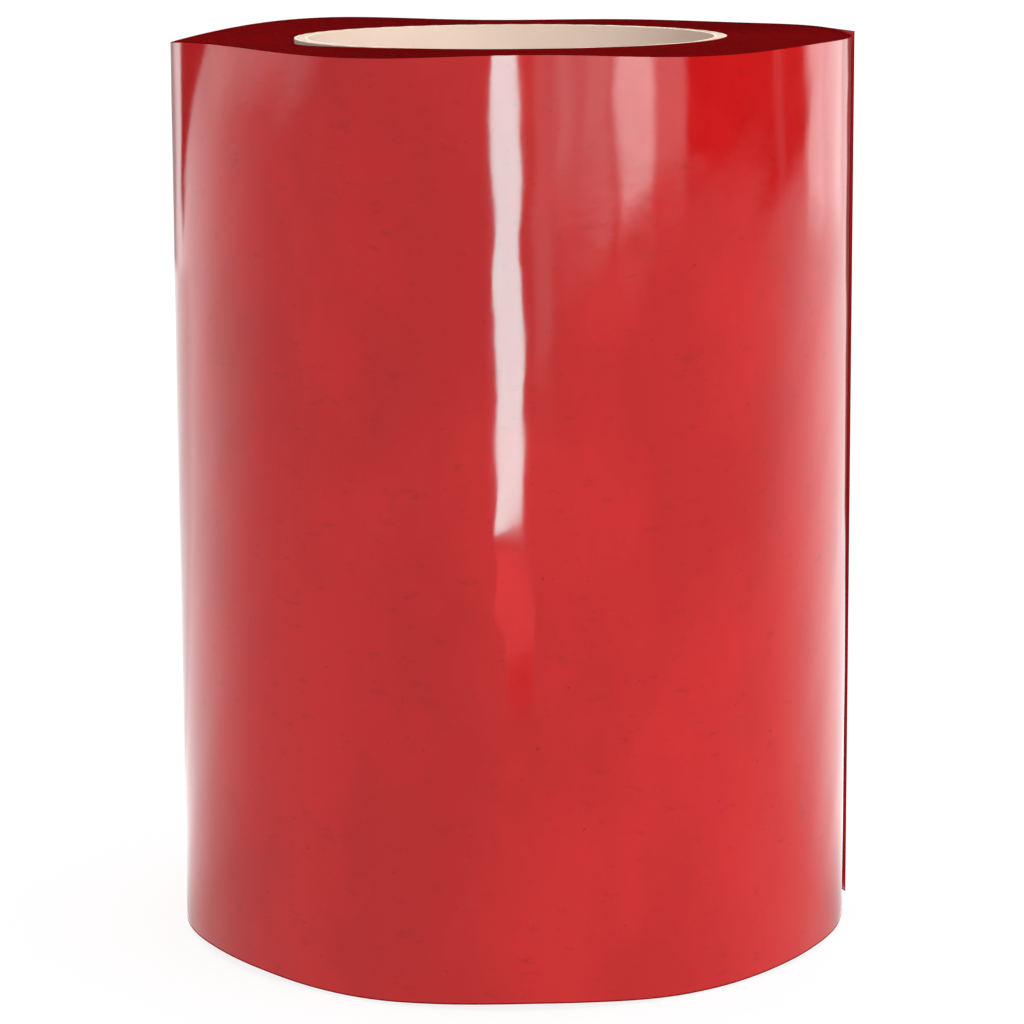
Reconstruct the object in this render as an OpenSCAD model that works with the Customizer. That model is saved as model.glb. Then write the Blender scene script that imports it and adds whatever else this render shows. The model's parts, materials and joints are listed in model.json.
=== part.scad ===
// A roll of self-adhesive sign vinyl: a laminated web of film, adhesive and release liner, wound on
// a spiral-ply paper core. It stands on its end. The origin is the centre of the core's lower end,
// and +Z runs up the axis of the core. Seen from above, the web winds outward clockwise.

/* [Core] */
// Bore of the core, which fits the spindle of a 3 inch roll holder
core_bore_d = 76.2; // [50:0.1:160]
// Thickness of each of the six paper plies
core_ply_t = 0.4; // [0.2:0.05:1]
// How far the core stands above the upper edge of the web
core_proud = 0.6; // [0:0.1:3]

/* [Web] */
// Width of the web, which is the height of the standing roll
web_w = 168; // [100:1:610]
// Thickness of the vinyl film
vinyl_t = 0.064; // [0.05:0.001:0.2]
// Thickness of the adhesive coat
adhesive_t = 0.025; // [0.015:0.001:0.06]
// Thickness of the release liner
liner_t = 0.075; // [0.05:0.001:0.2]
// Whole turns of web on the core
turns = 140; // [20:1:400]

/* [Start tape] */
// Width of the double-sided tape that holds the web's leading end, round the core
tape_w = 12; // [6:0.5:25]
// Thickness of the tape, which the tension of the web presses into the core
tape_t = 0.08; // [0.03:0.01:0.15]
// Free space ahead of the leading end, where the second turn climbs onto the first
leading_gap = 1.5; // [0.5:0.1:4]

/* [Tail] */
// Direction of the line where the tail leaves the roll, in degrees from +X towards +Y
tail_angle = 17.5; // [0:0.5:90]
// Length of the free tail, from the line where it leaves the roll to its cut end
tail_l = 14.5; // [10:0.5:40]
// Length of the corner of film that peels off the liner at the cut end
tip_l = 6; // [3:0.5:8]

/* [Hidden] */
$fn = 120;
core_plies = 6;
core_bore_r = core_bore_d / 2;
core_r = core_bore_r + core_plies * core_ply_t;
core_l = web_w + core_proud;
web_t = liner_t + adhesive_t + vinyl_t;
roll_r = core_r + turns * web_t;
first_turn_r = core_r + web_t;
last_turn_start_r = roll_r - 2 * web_t;
tail_inner_r = roll_r - web_t;
tape_arc = tape_w / core_r * 180 / PI;
leading_gap_arc = leading_gap / core_r * 180 / PI;
// How far a cutting tool runs past the face that it cuts
overrun = 1;
// Side of a block that holds half of the roll
half_block = 2 * roll_r + overrun;

cream_paper = "#e9d6c4";
kraft_paper = "#b99873";
tape_colour = "#e6e2d2";
liner_colour = "#b9242a";
adhesive_colour = "#c8474b";
vinyl_colour = "#c92a2c";

// A tube of the given length that stands on the floor.
module tube(r_in, r_out, length) {
    difference() {
        cylinder(h = length, r = r_out);
        translate([0, 0, -overrun])
            cylinder(h = length + 2 * overrun, r = r_in);
    }
}

// The part of a tube between two angles, counted from +X towards +Y and less than 180 degrees apart.
module tube_arc(r_in, r_out, length, from_angle, to_angle) {
    reach = 2 * r_out / cos((to_angle - from_angle) / 2);
    intersection() {
        tube(r_in, r_out, length);
        translate([0, 0, -overrun])
            linear_extrude(length + 2 * overrun)
                polygon([[0, 0],
                    reach * [cos(from_angle), sin(from_angle)],
                    reach * [cos(to_angle), sin(to_angle)]]);
    }
}

// One of the six paper plies, numbered from 1 at the bore.
module core_ply(number) {
    r_in = core_bore_r + (number - 1) * core_ply_t;
    tube(r_in, r_in + core_ply_t, core_l);
}

// The outline of the start tape, which is let into the core under the web's leading end.
module start_tape_strip(r_out, length) {
    tube_arc(core_r - tape_t, r_out, length, tail_angle - tape_arc, tail_angle);
}

// A layer of the first turn, which hugs the core and stops short of its own leading end.
module first_turn_layer(r_in, r_out) {
    difference() {
        tube(r_in, r_out, web_w);
        translate([0, 0, -overrun])
            tube_arc(core_r - overrun, roll_r, web_w + 2 * overrun,
                tail_angle, tail_angle + leading_gap_arc);
    }
}

// Half of the roll's outline out to a turn of web that starts at start_r. The outline is a
// two-centre spiral: start_side is -1 for the half turn that starts at the tail, and 1 for the
// next one. Each half is round about its own centre, and the two meet without a kink.
module half_outline(start_r, start_side, length) {
    radius = start_r + (2 + start_side) * web_t / 4;
    intersection() {
        translate([start_side * web_t / 4, 0, 0])
            cylinder(h = length, r = radius);
        translate([-half_block / 2, (start_side - 1) * half_block / 2, -overrun])
            cube([half_block, half_block, length + 2 * overrun]);
    }
}

// A layer of the last turn: it starts under the tail and ends where the tail leaves the roll.
module last_turn_layer(r_in, r_out) {
    rotate([0, 0, tail_angle])
        for (side = [-1, 1])
            difference() {
                half_outline(r_out, side, web_w);
                translate([0, 0, -overrun])
                    half_outline(r_in, side, web_w + 2 * overrun);
            }
}

// A flat layer of the tail, between two distances from the line where it leaves the roll.
module tail_layer(r_in, r_out, from_l, to_l) {
    rotate([0, 0, tail_angle])
        translate([r_in, -to_l, 0])
            cube([r_out - r_in, to_l - from_l, web_w]);
}

module core_inner_ply() {
    color(cream_paper) core_ply(1);
}

module core_body_ply(number) {
    color(kraft_paper) core_ply(number);
}

module core_outer_ply() {
    color(cream_paper)
        difference() {
            core_ply(core_plies);
            translate([0, 0, -overrun])
                start_tape_strip(core_r + overrun, web_w + overrun);
        }
}

module core_start_tape() {
    color(tape_colour) start_tape_strip(core_r, web_w);
}

module first_turn_liner() {
    color(liner_colour)
        first_turn_layer(core_r, core_r + liner_t);
}

module first_turn_adhesive() {
    color(adhesive_colour)
        first_turn_layer(core_r + liner_t, core_r + liner_t + adhesive_t);
}

module first_turn_vinyl() {
    color(vinyl_colour)
        first_turn_layer(core_r + liner_t + adhesive_t, first_turn_r);
}

// The turns between the first and the last, wound tight enough to be one solid ring.
module wound_turns() {
    color(vinyl_colour)
        difference() {
            rotate([0, 0, tail_angle])
                for (side = [-1, 1])
                    half_outline(last_turn_start_r, side, web_w);
            translate([0, 0, -overrun])
                cylinder(h = web_w + 2 * overrun, r = first_turn_r);
        }
}

module last_turn_liner() {
    color(liner_colour)
        last_turn_layer(last_turn_start_r, last_turn_start_r + liner_t);
}

module last_turn_adhesive() {
    color(adhesive_colour)
        last_turn_layer(last_turn_start_r + liner_t, last_turn_start_r + liner_t + adhesive_t);
}

module last_turn_vinyl() {
    color(vinyl_colour)
        last_turn_layer(last_turn_start_r + liner_t + adhesive_t, last_turn_start_r + web_t);
}

module tail_liner() {
    color(liner_colour)
        tail_layer(tail_inner_r, tail_inner_r + liner_t, 0, tail_l);
}

module tail_adhesive() {
    color(adhesive_colour)
        tail_layer(tail_inner_r + liner_t, roll_r - vinyl_t, 0, tail_l - tip_l);
}

module tail_vinyl() {
    color(vinyl_colour)
        tail_layer(roll_r - vinyl_t, roll_r, 0, tail_l - tip_l);
}

module tip_adhesive() {
    color(adhesive_colour)
        tail_layer(tail_inner_r + liner_t, roll_r - vinyl_t, tail_l - tip_l, tail_l);
}

module tip_vinyl() {
    color(vinyl_colour)
        tail_layer(roll_r - vinyl_t, roll_r, tail_l - tip_l, tail_l);
}

core_inner_ply();
core_body_ply(2);  // core_body_ply_1
core_body_ply(3);  // core_body_ply_2
core_body_ply(4);  // core_body_ply_3
core_body_ply(5);  // core_body_ply_4
core_outer_ply();
core_start_tape();
first_turn_liner();
first_turn_adhesive();
first_turn_vinyl();
wound_turns();
last_turn_liner();
last_turn_adhesive();
last_turn_vinyl();
tail_liner();
tail_adhesive();
tail_vinyl();
tip_adhesive();
tip_vinyl();
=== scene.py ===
import json
import math

import bpy
import numpy as np
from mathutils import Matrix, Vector


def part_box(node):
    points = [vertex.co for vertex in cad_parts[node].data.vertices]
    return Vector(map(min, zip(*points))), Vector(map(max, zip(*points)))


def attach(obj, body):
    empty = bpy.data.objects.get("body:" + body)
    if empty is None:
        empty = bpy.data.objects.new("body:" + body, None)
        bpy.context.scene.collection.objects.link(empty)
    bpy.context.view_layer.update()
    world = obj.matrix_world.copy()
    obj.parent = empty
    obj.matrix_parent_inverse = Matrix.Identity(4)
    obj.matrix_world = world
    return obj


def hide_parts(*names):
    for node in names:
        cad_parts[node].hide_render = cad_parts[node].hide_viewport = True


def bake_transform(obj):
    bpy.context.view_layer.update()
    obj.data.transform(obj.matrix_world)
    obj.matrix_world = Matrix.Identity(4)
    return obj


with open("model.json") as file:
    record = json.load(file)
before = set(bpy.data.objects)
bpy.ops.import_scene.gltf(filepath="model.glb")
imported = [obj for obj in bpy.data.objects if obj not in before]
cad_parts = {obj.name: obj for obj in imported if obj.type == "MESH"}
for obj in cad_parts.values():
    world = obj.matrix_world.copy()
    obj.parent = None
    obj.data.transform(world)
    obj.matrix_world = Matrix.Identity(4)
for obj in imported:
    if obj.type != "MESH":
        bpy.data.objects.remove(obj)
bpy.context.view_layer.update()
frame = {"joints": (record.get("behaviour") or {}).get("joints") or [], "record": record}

MM = 0.001

# ---------------------------------------------------------------- sizes, from the frame
JOINTS = {joint["name"]: joint for joint in frame["joints"]}
MOUNTS = {mount["name"]: mount for mount in frame["record"]["mounts"]}
LIFT_X, LIFT_Y = JOINTS["tail_lift"]["pos_m"][:2]
ROLL_R = math.hypot(LIFT_X, LIFT_Y)
TAIL_ANGLE = math.atan2(LIFT_Y, LIFT_X)
BORE_R = MOUNTS["spindle_bore"]["dims"]["r_mm"] * MM
PLY_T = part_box("core_body_ply_1")[1].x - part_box("core_inner_ply")[1].x
PLIES = ["core_inner_ply", "core_body_ply_1", "core_body_ply_2",
         "core_body_ply_3", "core_body_ply_4", "core_outer_ply"]
CORE_R = BORE_R + len(PLIES) * PLY_T
CORE_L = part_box("core_inner_ply")[1].z
WEB_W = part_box("wound_turns")[1].z

# The sheets of the web, from the core outward
LINER_T = 0.075 * MM
ADHESIVE_T = 0.025 * MM
VINYL_T = 0.064 * MM
WEB_T = LINER_T + ADHESIVE_T + VINYL_T
SHEETS = {
    "liner": (0.0, LINER_T),
    "adhesive": (LINER_T, LINER_T + ADHESIVE_T),
    "vinyl": (LINER_T + ADHESIVE_T, WEB_T),
}
# The free tail is a straight run of web, from the line where it leaves the roll
TAIL_TIP_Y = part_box("tip_vinyl")[0].y
TAIL_L = ((ROLL_R - VINYL_T) * math.sin(TAIL_ANGLE) - TAIL_TIP_Y) / math.cos(TAIL_ANGLE)

# Places along the web are counted in turns, from its leading end on the core
LIFT_TURN = (ROLL_R - WEB_T - CORE_R) / WEB_T
ONE_ROUND = 2 * math.pi * ROLL_R


def tail_turn(distance):
    """The place along the web that is this far past the line where the tail leaves the roll."""
    return LIFT_TURN + distance / ONE_ROUND


# ---------------------------------------------------------------- the shape of the web
# Waves of the outer turns' edges round the roll: order, height in mm, direction of a crest
EDGE_WAVES = ((3, 0.33, 2), (4, 0.28, 135), (5, 0.33, -61), (6, 0.18, 157), (7, 0.14, 120))
# The core sits up in the roll, and the turns next to it stand a little above its end all round
# except at the left, where they dip and bare its side
CORE_LIFT = 0.25 * MM
INNER_LIFT = 1.0 * MM
INNER_DIP = 1.0 * MM
DIP_SIDE = math.radians(182)
DIP_HALF_WIDTH = math.radians(38)
# How far one turn's edge stands above or below the next, and how far groups of turns do
TURN_JITTER = 0.014 * MM
GROUP_DRIFT = 0.035 * MM
GROUP_TURNS = 9
# Both die down at the end of the roll: from how many turns before the tail, and over how many
CALM_FROM = 3
CALM_OVER = 2.5


def edge_waves(theta):
    """The waves of the outer turns' edges at an angle round the roll."""
    return sum(a * MM * np.cos(n * theta - math.radians(crest)) for n, a, crest in EDGE_WAVES)


LOWEST_WAVE = edge_waves(np.linspace(0, 2 * math.pi, 720)).min()
_random = np.random.default_rng(7)
_turn_jitter = _random.normal(0, TURN_JITTER, int(LIFT_TURN) + 4)
_group_drift = _random.normal(0, GROUP_DRIFT, int(LIFT_TURN / GROUP_TURNS) + 4)


def smooth(t):
    """A soft step from nought to one."""
    t = np.clip(t, 0, 1)
    return t * t * (3 - 2 * t)


def web_lift(turn, theta):
    """How far the web's lower edge is above the floor."""
    share = np.clip(turn / LIFT_TURN, 0, 1)
    off_dip = (theta - DIP_SIDE + math.pi) % (2 * math.pi) - math.pi
    inner = INNER_LIFT - INNER_DIP * np.exp(-((off_dip / DIP_HALF_WIDTH) ** 2))
    outer = edge_waves(theta) - LOWEST_WAVE
    lift = inner + (outer - inner) * smooth(share)
    steps = np.interp(turn, np.arange(len(_turn_jitter)), _turn_jitter)
    drift = np.interp(turn / GROUP_TURNS, np.arange(len(_group_drift)), _group_drift)
    calm = 1 - smooth((turn - LIFT_TURN + CALM_FROM) / CALM_OVER)
    return lift + (steps + drift) * calm


# Slack film stands off the turn below it in shallow waves: cycles round the roll, cycles up the
# web, height in mm, phase in degrees
SLACK_WAVES = ((5, 0.7, 0.050, 20), (9, 1.6, 0.040, 130), (14, 2.5, 0.034, 250),
               (23, 4.4, 0.022, 70), (38, 7.3, 0.010, 200))
# The shares of a turn over which the slack begins and ends
SLACK_BEGINS = 0.04
SLACK_ENDS = 0.02
# Small dents: how many, between which shares of the height, how wide and how high
DENTS = 110
DENT_HEIGHTS = (0.02, 0.98)
DENT_R = (1.0 * MM, 4.0 * MM)
DENT_H = (0.010 * MM, 0.045 * MM)
_dent_turn = _random.uniform(0, 1, DENTS)
_dent_height = _random.uniform(*DENT_HEIGHTS, DENTS)
_dent_r = _random.uniform(*DENT_R, DENTS)
_dent_h = _random.uniform(*DENT_H, DENTS)


def slack(turn, height):
    """How far the last turn stands off the one below it, at a share of its height."""
    theta = 2 * math.pi * turn
    off = 0
    for around, up, mm, phase in SLACK_WAVES:
        wave = np.cos(around * theta + 2 * math.pi * up * height + math.radians(phase))
        off = off + mm * MM * (1 + wave * np.cos(math.pi * (up * height + around)))
    for at, up, r, h in zip(_dent_turn, _dent_height, _dent_r, _dent_h):
        gap = (turn - at + 0.5) % 1 - 0.5
        away = np.hypot(gap * ONE_ROUND, (height - up) * WEB_W)
        off = off + h * np.exp(-((away / r) ** 2))
    begun = smooth((turn - LIFT_TURN + 1) / SLACK_BEGINS)
    ended = smooth((turn - LIFT_TURN + SLACK_ENDS) / SLACK_ENDS)
    return off * (begun * (1 - ended))


def web_points(turn, height, depth):
    """Points of the web: a place along it in turns, a share of its height, and the depth from
    its inner face. The inputs are arrays of one shape."""
    on_roll = np.minimum(turn, LIFT_TURN)
    along = (turn - on_roll) * ONE_ROUND
    theta = TAIL_ANGLE + 2 * math.pi * (LIFT_TURN - on_roll)
    radius = CORE_R + on_roll * WEB_T + depth + slack(turn, height)
    x = radius * np.cos(theta) + along * math.sin(TAIL_ANGLE)
    y = radius * np.sin(theta) - along * math.cos(TAIL_ANGLE)
    z = np.maximum(web_lift(on_roll, theta), 0) + height * WEB_W
    return np.stack([x, y, z], axis=-1)


# ---------------------------------------------------------------- mesh building
# Edges that turn by more than this stay sharp
SHARP = math.radians(35)


def mesh_object(name, points, quads, material_index=None):
    """An object of quads, smooth but for its sharp edges."""
    mesh = bpy.data.meshes.new(name)
    quads = np.asarray(quads, np.int32).reshape(-1, 4)
    mesh.vertices.add(len(points))
    mesh.vertices.foreach_set("co", np.asarray(points, np.float32).ravel())
    mesh.loops.add(quads.size)
    mesh.loops.foreach_set("vertex_index", quads.ravel())
    mesh.polygons.add(len(quads))
    mesh.polygons.foreach_set("loop_start", np.arange(0, quads.size, 4, dtype=np.int32))
    if material_index is not None:
        mesh.polygons.foreach_set("material_index", np.asarray(material_index, np.int32))
    mesh.update(calc_edges=True)
    mesh.validate()
    mesh.shade_smooth()
    mesh.set_sharp_from_angle(angle=SHARP)
    piece = bpy.data.objects.new(name, mesh)
    bpy.context.collection.objects.link(piece)
    return piece


def strip(first, second, flip=False):
    """Quads between two rows of vertex numbers."""
    quads = np.stack([first[:-1], first[1:], second[1:], second[:-1]], axis=-1)
    return quads[:, ::-1] if flip else quads


# The material numbers of a sheet's faces and of its cut edges
FACE, EDGE = 0, 1
# The share of the web's width at its foot that takes the cut edge's dark material, as painted
# shade along the foot next to the floor
CONTACT_SHADE_SHARE = 0.0014


def closed_sheet(name, inside, outside, shade_first_row=False):
    """A thin closed solid between two grids of points, both with rows up the sheet and columns
    clockwise along it, seen from above, so that its normals point outward. Its two faces take
    the first material, and its cut edges the second."""
    rows, columns = inside.shape[:2]
    inner = np.arange(rows * columns).reshape(rows, columns)
    outer = inner + rows * columns
    faces, index = [], []
    for row in range(rows - 1):
        faces += [strip(outer[row], outer[row + 1], True), strip(inner[row], inner[row + 1])]
        # When asked, the faces' first row takes the dark edge material as painted shade
        index += [EDGE if shade_first_row and row == 0 else FACE] * 2 * (columns - 1)
    faces += [strip(inner[0], outer[0], True), strip(inner[-1], outer[-1])]
    faces += [strip(inner[:, 0], outer[:, 0]), strip(inner[:, -1], outer[:, -1], True)]
    index += [EDGE] * 2 * (columns - 1 + rows - 1)
    points = np.concatenate([inside.reshape(-1, 3), outside.reshape(-1, 3)])
    return mesh_object(name, points, np.concatenate(faces), index)


def web_piece(name, sheet, first_turn, last_turn, columns, rows):
    """A length of one sheet of the web. The lowest row of its faces takes the cut edge's dark
    material, as painted shade at its foot next to the floor. A buried length has one row, all of
    it in that dark material, as painted shade on the slivers of it that show between the turns."""
    up = np.linspace(0, 1, rows + 1)
    if rows > 1:
        up = np.concatenate([[0, CONTACT_SHADE_SHARE], up[1:-1], [1]])
    turn, height = np.meshgrid(np.linspace(first_turn, last_turn, columns + 1), up)
    low, high = SHEETS[sheet]
    piece = closed_sheet(name, web_points(turn, height, low), web_points(turn, height, high),
                         shade_first_row=True)
    finish_piece(piece, sheet)
    return piece


# ---------------------------------------------------------------- materials
def srgb(red, green, blue):
    """A colour given in steps of 0 to 255, as the shaders take it."""
    def linear(value):
        value /= 255
        return value / 12.92 if value <= 0.04045 else ((value + 0.055) / 1.055) ** 2.4
    return (linear(red), linear(green), linear(blue), 1.0)


class Shader:
    """A Principled material whose colour and bump come from noise in the object's own space."""

    def __init__(self, name, roughness, ior=1.5):
        self.material = bpy.data.materials.new(name)
        self.material.use_nodes = True
        self.nodes = self.material.node_tree.nodes
        self.links = self.material.node_tree.links
        self.surface = self.nodes["Principled BSDF"]
        self.surface.inputs["Roughness"].default_value = roughness
        self.surface.inputs["IOR"].default_value = ior
        self.place = self.nodes.new("ShaderNodeTexCoord").outputs["Object"]

    def noise(self, scale, detail, stretch=(1, 1, 1), roughness=0.5):
        """Noise of so many grains to the metre."""
        mapping = self.nodes.new("ShaderNodeMapping")
        mapping.inputs["Scale"].default_value = [scale * s for s in stretch]
        self.links.new(self.place, mapping.inputs["Vector"])
        noise = self.nodes.new("ShaderNodeTexNoise")
        noise.inputs["Scale"].default_value = 1.0
        noise.inputs["Detail"].default_value = detail
        noise.inputs["Roughness"].default_value = roughness
        self.links.new(mapping.outputs["Vector"], noise.inputs["Vector"])
        return noise.outputs["Fac"]

    def ramp(self, value, *stops):
        """A blend from one colour to another, each with its place on the scale of the value."""
        ramp = self.nodes.new("ShaderNodeValToRGB")
        for (position, colour), element in zip(stops, ramp.color_ramp.elements):
            element.position, element.color = position, colour
        self.links.new(value, ramp.inputs["Fac"])
        return ramp.outputs["Color"]

    def span(self, value, low, high, from_low=0.3, from_high=0.7):
        """A value stretched to run from low to high."""
        spread = self.nodes.new("ShaderNodeMapRange")
        spread.inputs["From Min"].default_value = from_low
        spread.inputs["From Max"].default_value = from_high
        spread.inputs["To Min"].default_value = low
        spread.inputs["To Max"].default_value = high
        self.links.new(value, spread.inputs["Value"])
        return spread.outputs["Result"]

    def mix(self, share, under, over):
        """The colour under, with a plain colour over a share of it."""
        mix = self.nodes.new("ShaderNodeMix")
        mix.data_type = "RGBA"
        self.links.new(share, mix.inputs["Factor"])
        self.links.new(under, mix.inputs["A"])
        mix.inputs["B"].default_value = over
        return mix.outputs["Result"]

    def bump(self, value, distance, strength):
        """Bumps, on top of those that the surface already has."""
        bump = self.nodes.new("ShaderNodeBump")
        bump.inputs["Distance"].default_value = distance
        bump.inputs["Strength"].default_value = strength
        self.links.new(value, bump.inputs["Height"])
        if self.surface.inputs["Normal"].is_linked:
            self.links.new(
                self.surface.inputs["Normal"].links[0].from_socket, bump.inputs["Normal"])
        self.links.new(bump.outputs["Normal"], self.surface.inputs["Normal"])

    def set(self, socket, value):
        """Set a socket of the surface to a number, or link a node's output to it."""
        if isinstance(value, float):
            self.surface.inputs[socket].default_value = value
        else:
            self.links.new(value, self.surface.inputs[socket])


def vinyl_face():
    """Glossy calendered film: even red, with faint clouds, soft ripples, scuffs and dust."""
    shader = Shader("vinyl_face", roughness=0.09)
    clouds = shader.ramp(shader.noise(30, 5, (1, 1, 0.6), 0.6),
                         (0.4, srgb(193, 12, 14)), (0.6, srgb(207, 20, 22)))
    scuffs = shader.span(shader.noise(190, 4, (1, 1, 2.6), 0.7), 0.0, 0.5, 0.59, 0.72)
    red = shader.mix(scuffs, clouds, srgb(164, 8, 10))
    specks = shader.span(shader.noise(1100, 1), 0.0, 0.7, 0.745, 0.82)
    shader.set("Base Color", shader.mix(specks, red, srgb(128, 8, 10)))
    shader.set("Roughness", shader.span(shader.noise(70, 5, (1, 1, 0.5), 0.65), 0.045, 0.11))
    shader.bump(shader.noise(170, 3), 0.00002, 0.8)
    shader.bump(shader.noise(1400, 2), 0.000003, 0.35)
    return shader.material


def vinyl_edge():
    """The slit edge of the film, stacked turn on turn: dark red, with fine streaks."""
    shader = Shader("vinyl_edge", roughness=0.5)
    streaks = shader.noise(900, 3)
    shader.set("Base Color", shader.ramp(
        streaks, (0.3, srgb(111, 9, 11)), (0.7, srgb(147, 15, 17))))
    shader.set("Roughness", shader.span(shader.noise(1500, 2), 0.5, 0.7))
    shader.set("Specular IOR Level", 0.0)
    shader.bump(shader.noise(3000, 2), 0.00001, 0.5)
    return shader.material


def liner_face():
    """Clear polyester liner, which shows the red behind it. Its pink is painted paler than the
    liner's own, as painted light on the shaded liner side of the tail.
    """
    shader = Shader("liner_face", roughness=0.16, ior=1.57)
    shader.set("Base Color", shader.ramp(
        shader.noise(60, 3), (0.3, srgb(226, 92, 90)), (0.7, srgb(232, 104, 102))))
    shader.set("Roughness", shader.span(shader.noise(240, 3), 0.14, 0.24))
    shader.bump(shader.noise(300, 2), 0.00002, 0.5)
    return shader.material


def liner_edge():
    """The slit edge of the liner, which looks nearly as dark as the film's."""
    shader = Shader("liner_edge", roughness=0.38, ior=1.57)
    shader.set("Base Color", shader.ramp(
        shader.noise(1100, 2), (0.3, srgb(98, 10, 13)), (0.7, srgb(129, 16, 19))))
    shader.set("Specular IOR Level", 0.0)
    shader.bump(shader.noise(2500, 2), 0.00001, 0.5)
    return shader.material


def adhesive_face():
    """Acrylic adhesive: a thin tacky coat that shows the film's back."""
    shader = Shader("adhesive_face", roughness=0.3, ior=1.47)
    shader.set("Base Color", shader.ramp(
        shader.noise(120, 4), (0.3, srgb(150, 24, 26)), (0.7, srgb(168, 34, 36))))
    shader.bump(shader.noise(900, 3), 0.00003, 0.6)
    return shader.material


def adhesive_edge():
    """The adhesive's thin line between the film's slit edge and the liner's."""
    shader = Shader("adhesive_edge", roughness=0.45, ior=1.47)
    shader.set("Base Color", shader.ramp(
        shader.noise(1300, 2), (0.3, srgb(91, 8, 11)), (0.7, srgb(121, 14, 16))))
    shader.set("Specular IOR Level", 0.0)
    return shader.material


def paper(name, dark, light):
    """Paperboard: fibres, mottling and a dull, slightly rough face."""
    shader = Shader(name, roughness=0.8, ior=1.45)
    fibres = shader.noise(700, 4, (1, 1, 0.35), 0.65)
    cloud = shader.noise(45, 3)
    pale = shader.ramp(cloud, (0.3, dark), (0.7, light))
    shader.set("Base Color", shader.mix(shader.span(fibres, 0.0, 0.22, 0.52, 0.74), pale, dark))
    shader.set("Roughness", shader.span(fibres, 0.72, 0.9))
    shader.bump(fibres, 0.00006, 0.5)
    return shader.material


def tape_face():
    """Double-sided tape: pale, with a slight sheen."""
    shader = Shader("tape_face", roughness=0.35)
    shader.set("Base Color", shader.ramp(
        shader.noise(200, 3), (0.3, srgb(214, 208, 188)), (0.7, srgb(228, 222, 204))))
    shader.bump(shader.noise(1200, 3), 0.00002, 0.5)
    return shader.material


# The look of each kind of piece: the material of its faces, and that of its cut edges
LOOKS = {
    "vinyl": (vinyl_face(), vinyl_edge()),
    "adhesive": (adhesive_face(), adhesive_edge()),
    "liner": (liner_face(), liner_edge()),
    "cream": (paper("cream_paper", srgb(218, 197, 182), srgb(224, 205, 190)),
              paper("cream_paper_edge", srgb(232, 214, 200), srgb(242, 228, 216))),
    "body": (paper("body_paper", srgb(206, 180, 152), srgb(220, 196, 170)),
             paper("body_paper_edge", srgb(206, 180, 156), srgb(224, 202, 180))),
    "tape": (tape_face(), tape_face()),
}


def finish_piece(piece, look):
    """Give a piece its two materials."""
    for material in LOOKS[look]:
        piece.data.materials.append(material)


# ---------------------------------------------------------------- the core
# The seam of a ply: how wide it gapes, how steeply it climbs, where the first ply's starts, and
# how far round the next ply's starts
SEAM_GAP = 0.25 * MM
SEAM_RISE = 2.4
SEAM_START = math.radians(78)
SEAM_STEP = math.radians(145)
CORE_COLUMNS = 240
CORE_ROWS = 28
# The gap between two plies, which is their glue
GLUE_LINE = 0.012 * MM
# The cut ends of the plies are a little fuzzy, over the top 3% of their height
END_FUZZ = 0.02 * MM
FUZZ_LINES = 7
FUZZ_FROM = 0.97
# The tape is pressed thin between the core and the web
TAPE_GAP = 0.001 * MM
PRESSED_TAPE_T = 0.02 * MM
# It starts this far above the floor
TAPE_LIFT = 0.1 * MM
TAPE_COLUMNS = 24
TAPE_ROWS = 12


def core_ply(number, name):
    """One strip of paper, wound as a tube with a slanting seam where its two edges meet."""
    r_in = BORE_R + number * PLY_T
    r_out = r_in + PLY_T - GLUE_LINE * (number < len(PLIES) - 1)
    height, share = np.meshgrid(
        np.linspace(0, 1, CORE_ROWS + 1), np.linspace(1, 0, CORE_COLUMNS + 1), indexing="ij")
    gap = SEAM_GAP / r_in
    seam = SEAM_START + number * SEAM_STEP + CORE_L * height / (SEAM_RISE * r_in)
    theta = seam + gap / 2 + share * (2 * math.pi - gap)
    near_end = smooth((height - FUZZ_FROM) / (1 - FUZZ_FROM))
    fuzz = END_FUZZ * np.sin(FUZZ_LINES * (number + 2) * theta) * near_end
    z = CORE_LIFT + CORE_L * height + fuzz - END_FUZZ * near_end
    sides = [np.stack([r * np.cos(theta), r * np.sin(theta), z], axis=-1) for r in (r_in, r_out)]
    piece = closed_sheet(name, *sides)
    finish_piece(piece, "cream" if number in (0, len(PLIES) - 1) else "body")
    return piece


def start_tape():
    """The double-sided tape under the leading end, pressed a little into the core."""
    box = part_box("core_start_tape")
    low = math.atan2(box[0].y, box[1].x)
    theta, z = np.meshgrid(np.linspace(TAIL_ANGLE, low, TAPE_COLUMNS + 1),
                           np.linspace(0, WEB_W, TAPE_ROWS + 1))
    sides = [np.stack([r * np.cos(theta), r * np.sin(theta), z + TAPE_LIFT], axis=-1)
             for r in (CORE_R + TAPE_GAP, CORE_R + PRESSED_TAPE_T)]
    piece = closed_sheet("start_tape", *sides)
    finish_piece(piece, "tape")
    return piece


core_pieces = []
for number, node in enumerate(PLIES):
    ply = core_ply(number, node.replace("core_", "paper_"))
    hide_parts(node)
    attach(ply, "roll")
    core_pieces.append(ply)
tape = start_tape()
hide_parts("core_start_tape")
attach(tape, "roll")

# ---------------------------------------------------------------- the web
COLUMNS_A_TURN = 144
LAST_COLUMNS = 360
# Rows of the last turn. Its film needs the most, because its outer face shows.
LAST_ROWS = {"liner": 12, "adhesive": 12, "vinyl": 96}
TAIL_COLUMNS = 40
TAIL_ROWS = 48
# Along the web, from the line where it leaves the roll: where the tail's pieces start, and where
# the film's tip starts
TAIL_START = -4.0 * MM
TAIL_MIDDLE = 5.5 * MM

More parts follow.
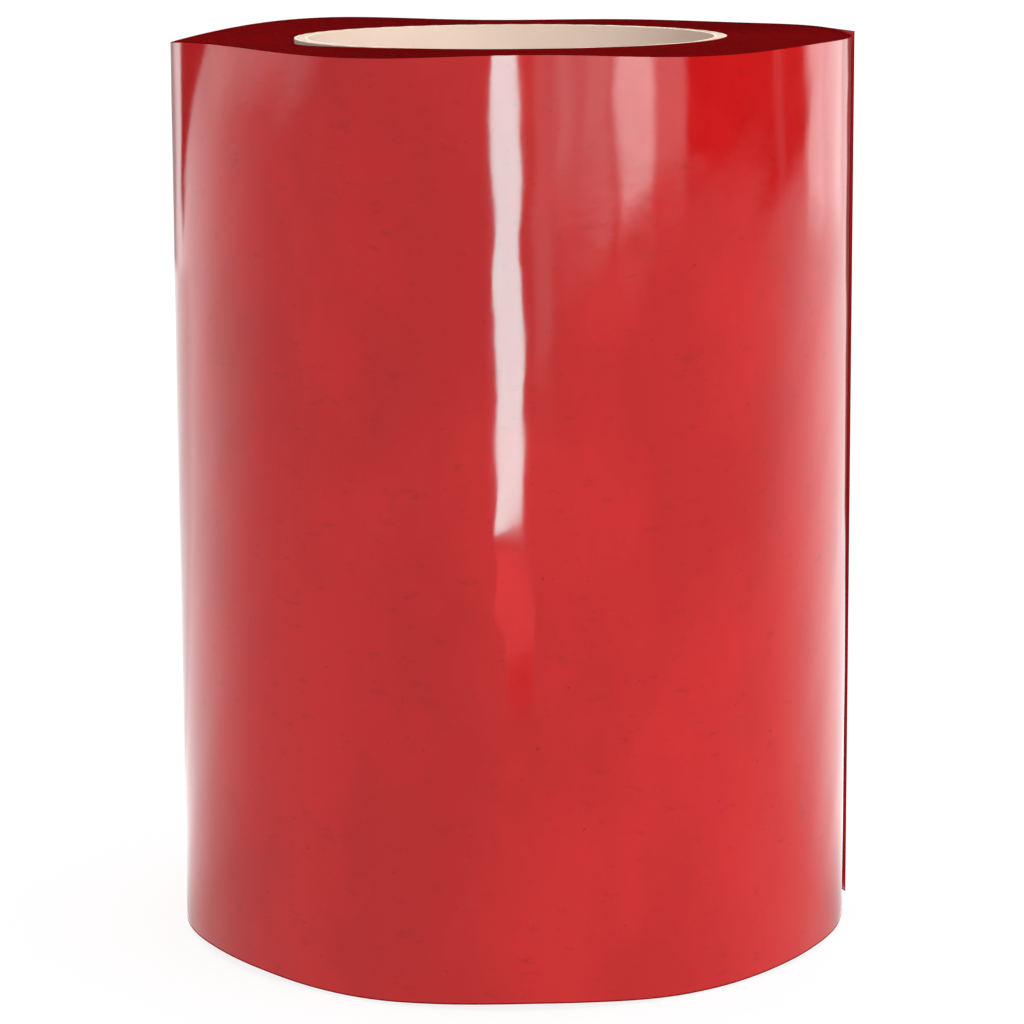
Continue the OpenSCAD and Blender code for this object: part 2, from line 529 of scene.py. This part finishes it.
for sheet, rows in LAST_ROWS.items():
    wound_to = LIFT_TURN - 1
    first = web_piece(f"first_turn_of_{sheet}", sheet, 0, 1, COLUMNS_A_TURN, 1)
    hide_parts(f"first_turn_{sheet}")
    wound = web_piece(f"wound_turns_of_{sheet}", sheet, 1, wound_to,
                      int(COLUMNS_A_TURN * (wound_to - 1)), 1)
    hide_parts("wound_turns")
    last = web_piece(f"last_turn_of_{sheet}", sheet, wound_to, tail_turn(TAIL_START),
                     LAST_COLUMNS, rows)
    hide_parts(f"last_turn_{sheet}")
    for piece in (first, wound, last):
        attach(piece, "roll")


for sheet in SHEETS:
    ends = TAIL_L if sheet == "liner" else TAIL_MIDDLE
    tail = web_piece(f"tail_of_{sheet}", sheet, tail_turn(TAIL_START), tail_turn(ends),
                     TAIL_COLUMNS, TAIL_ROWS)
    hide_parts(f"tail_{sheet}")
    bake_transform(tail)
    if sheet != "liner":
        tip = web_piece(f"tip_of_{sheet}", sheet, tail_turn(TAIL_MIDDLE), tail_turn(TAIL_L),
                        TAIL_COLUMNS, TAIL_ROWS)
        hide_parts(f"tip_{sheet}")
        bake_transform(tip)

# ---------------------------------------------------------------- floor, light and camera
scene = bpy.context.scene
scene.view_settings.view_transform = "Standard"
scene.view_settings.look = "None"

world = bpy.data.worlds.new("studio")
world.use_nodes = True
world.node_tree.nodes["Background"].inputs["Color"].default_value = (1, 1, 1, 1)
world.node_tree.nodes["Background"].inputs["Strength"].default_value = 1.0
scene.world = world

# A round light for the core's bore alone: watts, metres across, and its place
CORE_LIGHT = 3.2
CORE_LIGHT_WIDTH = 0.35
CORE_LIGHT_PLACE = Vector((0.195, -0.49, 0.62))
core_light = bpy.data.objects.new("core_light", bpy.data.lights.new("core_light", "AREA"))
bpy.context.collection.objects.link(core_light)
core_light.data.shape = "DISK"
core_light.data.size = CORE_LIGHT_WIDTH
core_light.data.energy = CORE_LIGHT
core_light.location = CORE_LIGHT_PLACE
from_core = CORE_LIGHT_PLACE - Vector((0, 0, CORE_L))
core_light.rotation_euler = from_core.to_track_quat("Z", "Y").to_euler()
lit = bpy.data.collections.new("lit_by_core_light")
for piece in core_pieces:
    lit.objects.link(piece)
core_light.light_linking.receiver_collection = lit


def glow_material(name, colour, strength=None, attribute=None, tint=(1, 1, 1, 1)):
    """A light-emitting stage material, of one strength or of a strength stored on the mesh."""
    material = bpy.data.materials.new(name)
    material.use_nodes = True
    nodes, links = material.node_tree.nodes, material.node_tree.links
    surface = nodes["Principled BSDF"]
    surface.inputs["Base Color"].default_value = colour
    surface.inputs["Specular IOR Level"].default_value = 0.0
    surface.inputs["Roughness"].default_value = 1.0
    surface.inputs["Emission Color"].default_value = tint
    if attribute:
        stored = nodes.new("ShaderNodeAttribute")
        stored.attribute_name = attribute
        links.new(stored.outputs["Fac"], surface.inputs["Emission Strength"])
    else:
        surface.inputs["Emission Strength"].default_value = strength
    material.cycles.emission_sampling = "NONE"
    return material


FLOOR_HALF = 12.0
FLOOR_GLOW = 0.86
floor = mesh_object("floor", [(-FLOOR_HALF, -FLOOR_HALF, 0), (FLOOR_HALF, -FLOOR_HALF, 0),
                              (FLOOR_HALF, FLOOR_HALF, 0), (-FLOOR_HALF, FLOOR_HALF, 0)],
                    [(0, 1, 2, 3)])
floor.data.materials.append(glow_material("studio_floor", (0.2, 0.2, 0.2, 1), FLOOR_GLOW))


def window(value, low, high, soft):
    """One between two limits and nought outside them, with soft edges."""
    return smooth((value - low) / soft + 0.5) * (1 - smooth((value - high) / soft + 0.5))


# What the glossy film mirrors: a pale table with lighter and darker things standing far out on
# it. How bright the table is in front and at the sides, from which bearing and over how many
# degrees it changes from front to side and from side to rear, and how far it drops at the rear,
# as a share of its rise at the sides
TABLE_FRONT = 0.72
TABLE_SIDES = 1.5
SIDE_FROM, SIDE_OVER = 80, 50
REAR_FROM, REAR_OVER = 148, 14
REAR_DROP = 1.35
# A patch on the table is a range of bearings in degrees from the front and how soft its two sides
# are, a range of distances in metres, how bright it is, and how many degrees it widens in each
# metre. Its near and far limits are soft over a share of the near distance.
PATCH_SOFTNESS = 0.3
PATCHES = (
    (7, 13, 3, 0.75, 9, 1.6, 0), (13, 31, 3, 1.25, 9, 2.0, 0), (15, 19, 3, 1.5, 9, 2.6, 0),
    (24, 33, 3, 1.5, 9, 2.7, 0), (46, 59, 3, 1.5, 9, 2.1, 0), (33.5, 47, 3, 1.3, 9, 2.3, 0),
    (34.5, 46.5, 3, 1.55, 9, 7.4, 0), (59, 114, 3, 1.5, 9, 0.1, 0), (97, 101, 3, 1.6, 9, 0.5, 0),
    (117, 154, 2, 1.25, 9, 2.3, 0), (117, 128, 3, 1.25, 9, 2.9, 0), (146, 156, 6, 0.05, 9, 1.3, 0),
    (157, 170, 2, 0.05, 9, 0.08, 0), (-122, -68, 16, 2.2, 9, 1.9, 0),
    (-168, -138, 8, 0.05, 1.0, 1.1, 0), (-146, -145, 3, 1.15, 9, 0.05, 17),
    (-172, -158, 4, 1.2, 9, 0.4, 0), (-186, -174, 3, 0.05, 9, 8.0, 0),
    (174, 186, 3, 0.05, 9, 8.0, 0),
)


def table_glow(bearing, distance):
    """How bright the table is at a bearing in degrees and a distance from the roll."""
    side = smooth((np.abs(bearing) - SIDE_FROM) / SIDE_OVER)
    rear = smooth((np.abs(bearing) - REAR_FROM) / REAR_OVER)
    glow = TABLE_FRONT + (TABLE_SIDES - TABLE_FRONT) * (side - REAR_DROP * rear)
    for first, last, soft, near, far, bright, widening in PATCHES:
        last = last + widening * np.maximum(distance - near, 0)
        share = (window(bearing, first, last, soft)
                 * window(distance, near, far, PATCH_SOFTNESS * near))
        glow = glow + (bright - glow) * share
    return glow


# Cool tints keep the mirrored lights white on the red film
TABLE_TINT = (0.92, 1, 1, 1)
STRIP_TINT = (0.5, 1, 1, 1)
GLOW_TINT = (1, 0.25, 0.25, 1)


def reflected_only(piece):
    """Stage that glossy surfaces mirror, and that is unseen and unlit by anything else."""
    piece.visible_camera = False
    piece.visible_diffuse = False
    piece.visible_shadow = False
    piece.visible_transmission = False


TABLE_COLUMNS = 361
TABLE_ROWS = 90
TABLE_GAP = 0.6 * MM
TABLE_Z = 0.3 * MM
CARD_Z = 0.8 * MM
bearing, ring = np.meshgrid(np.radians(np.linspace(-180, 180, TABLE_COLUMNS)),
                            np.geomspace(ROLL_R + TABLE_GAP, FLOOR_HALF - 1, TABLE_ROWS))
first_row = np.arange(TABLE_COLUMNS)
table = mesh_object(
    "mirrored_table",
    np.stack([ring * np.sin(bearing), -ring * np.cos(bearing), 0 * ring + TABLE_Z],
             axis=-1).reshape(-1, 3),
    np.concatenate([strip(first_row + TABLE_COLUMNS * row, first_row + TABLE_COLUMNS * (row + 1))
                    for row in range(TABLE_ROWS - 1)]))
glow = table.data.attributes.new("glow", "FLOAT", "POINT")
glow.data.foreach_set(
    "value", table_glow(np.degrees(bearing), ring - ROLL_R).ravel().astype(np.float32))
table.data.materials.append(glow_material(
    "mirrored_table", (0, 0, 0, 1), attribute="glow", tint=TABLE_TINT))
reflected_only(table)


def card(name, corners, strength, mirrored=True, tint=(1, 1, 1, 1)):
    """A glowing card that is either only mirrored or only lights. The camera sees neither."""
    piece = mesh_object(name, corners, [(0, 1, 2, 3)])
    piece.data.materials.append(glow_material(name, (0, 0, 0, 1), strength, tint=tint))
    if mirrored:
        reflected_only(piece)
    else:
        piece.visible_camera = False
        piece.visible_glossy = False


# Strip lights in front of the roll and behind it, which the film mirrors as upright bars, with
# the front one's glow on the table before it
card("strip_light_front", [(-0.036, -0.43, 0.014), (0.031, -0.43, 0.014),
                           (0.006, -0.43, 0.20), (-0.052, -0.43, 0.20)], 16.0, tint=STRIP_TINT)
card("table_glow_near", [(-0.028, -0.43, CARD_Z), (-0.022, -0.35, CARD_Z),
                         (0.034, -0.35, CARD_Z), (0.036, -0.43, CARD_Z)], 3.8, tint=GLOW_TINT)
card("table_glow_nearer", [(-0.018, -0.35, CARD_Z), (-0.012, -0.29, CARD_Z),
                           (0.026, -0.29, CARD_Z), (0.032, -0.35, CARD_Z)], 1.9, tint=GLOW_TINT)
card("strip_light_back", [(-0.06, 0.7, 0.0), (0.06, 0.7, 0.0),
                          (0.06, 0.7, 0.5), (-0.06, 0.7, 0.5)], 12.0, tint=STRIP_TINT)
# A dark flag keeps light off the left side, and a soft card adds some from the right
card("flag_left", [(-1.2, -0.1, 0.0), (-0.6, -1.05, 0.0), (-0.6, -1.05, 2.2), (-1.2, -0.1, 2.2)],
     0.05, mirrored=False)
card("soft_card_right", [(1.2, -1.2, 0.2), (1.2, 0.8, 0.2), (1.2, 0.8, 1.8), (1.2, -1.2, 1.8)],
     1.5, mirrored=False)

CAMERA_LENS = 127.8
CAMERA_BACK = 0.6835
CAMERA_UP = 0.2087
CAMERA_PITCH = math.radians(9.41)
CAMERA_ROLL = math.radians(0.27)
CAMERA_SHIFT = (0.0022, -0.087)
CAMERA_CLIP = (0.01, 50)
camera = bpy.data.objects.new("camera", bpy.data.cameras.new("camera"))
bpy.context.collection.objects.link(camera)
camera.data.lens = CAMERA_LENS
camera.data.shift_x, camera.data.shift_y = CAMERA_SHIFT
camera.data.clip_start, camera.data.clip_end = CAMERA_CLIP
camera.location = (0, -CAMERA_BACK, CAMERA_UP)
camera.rotation_euler = (math.pi / 2 - CAMERA_PITCH, CAMERA_ROLL, 0)
scene.camera = camera
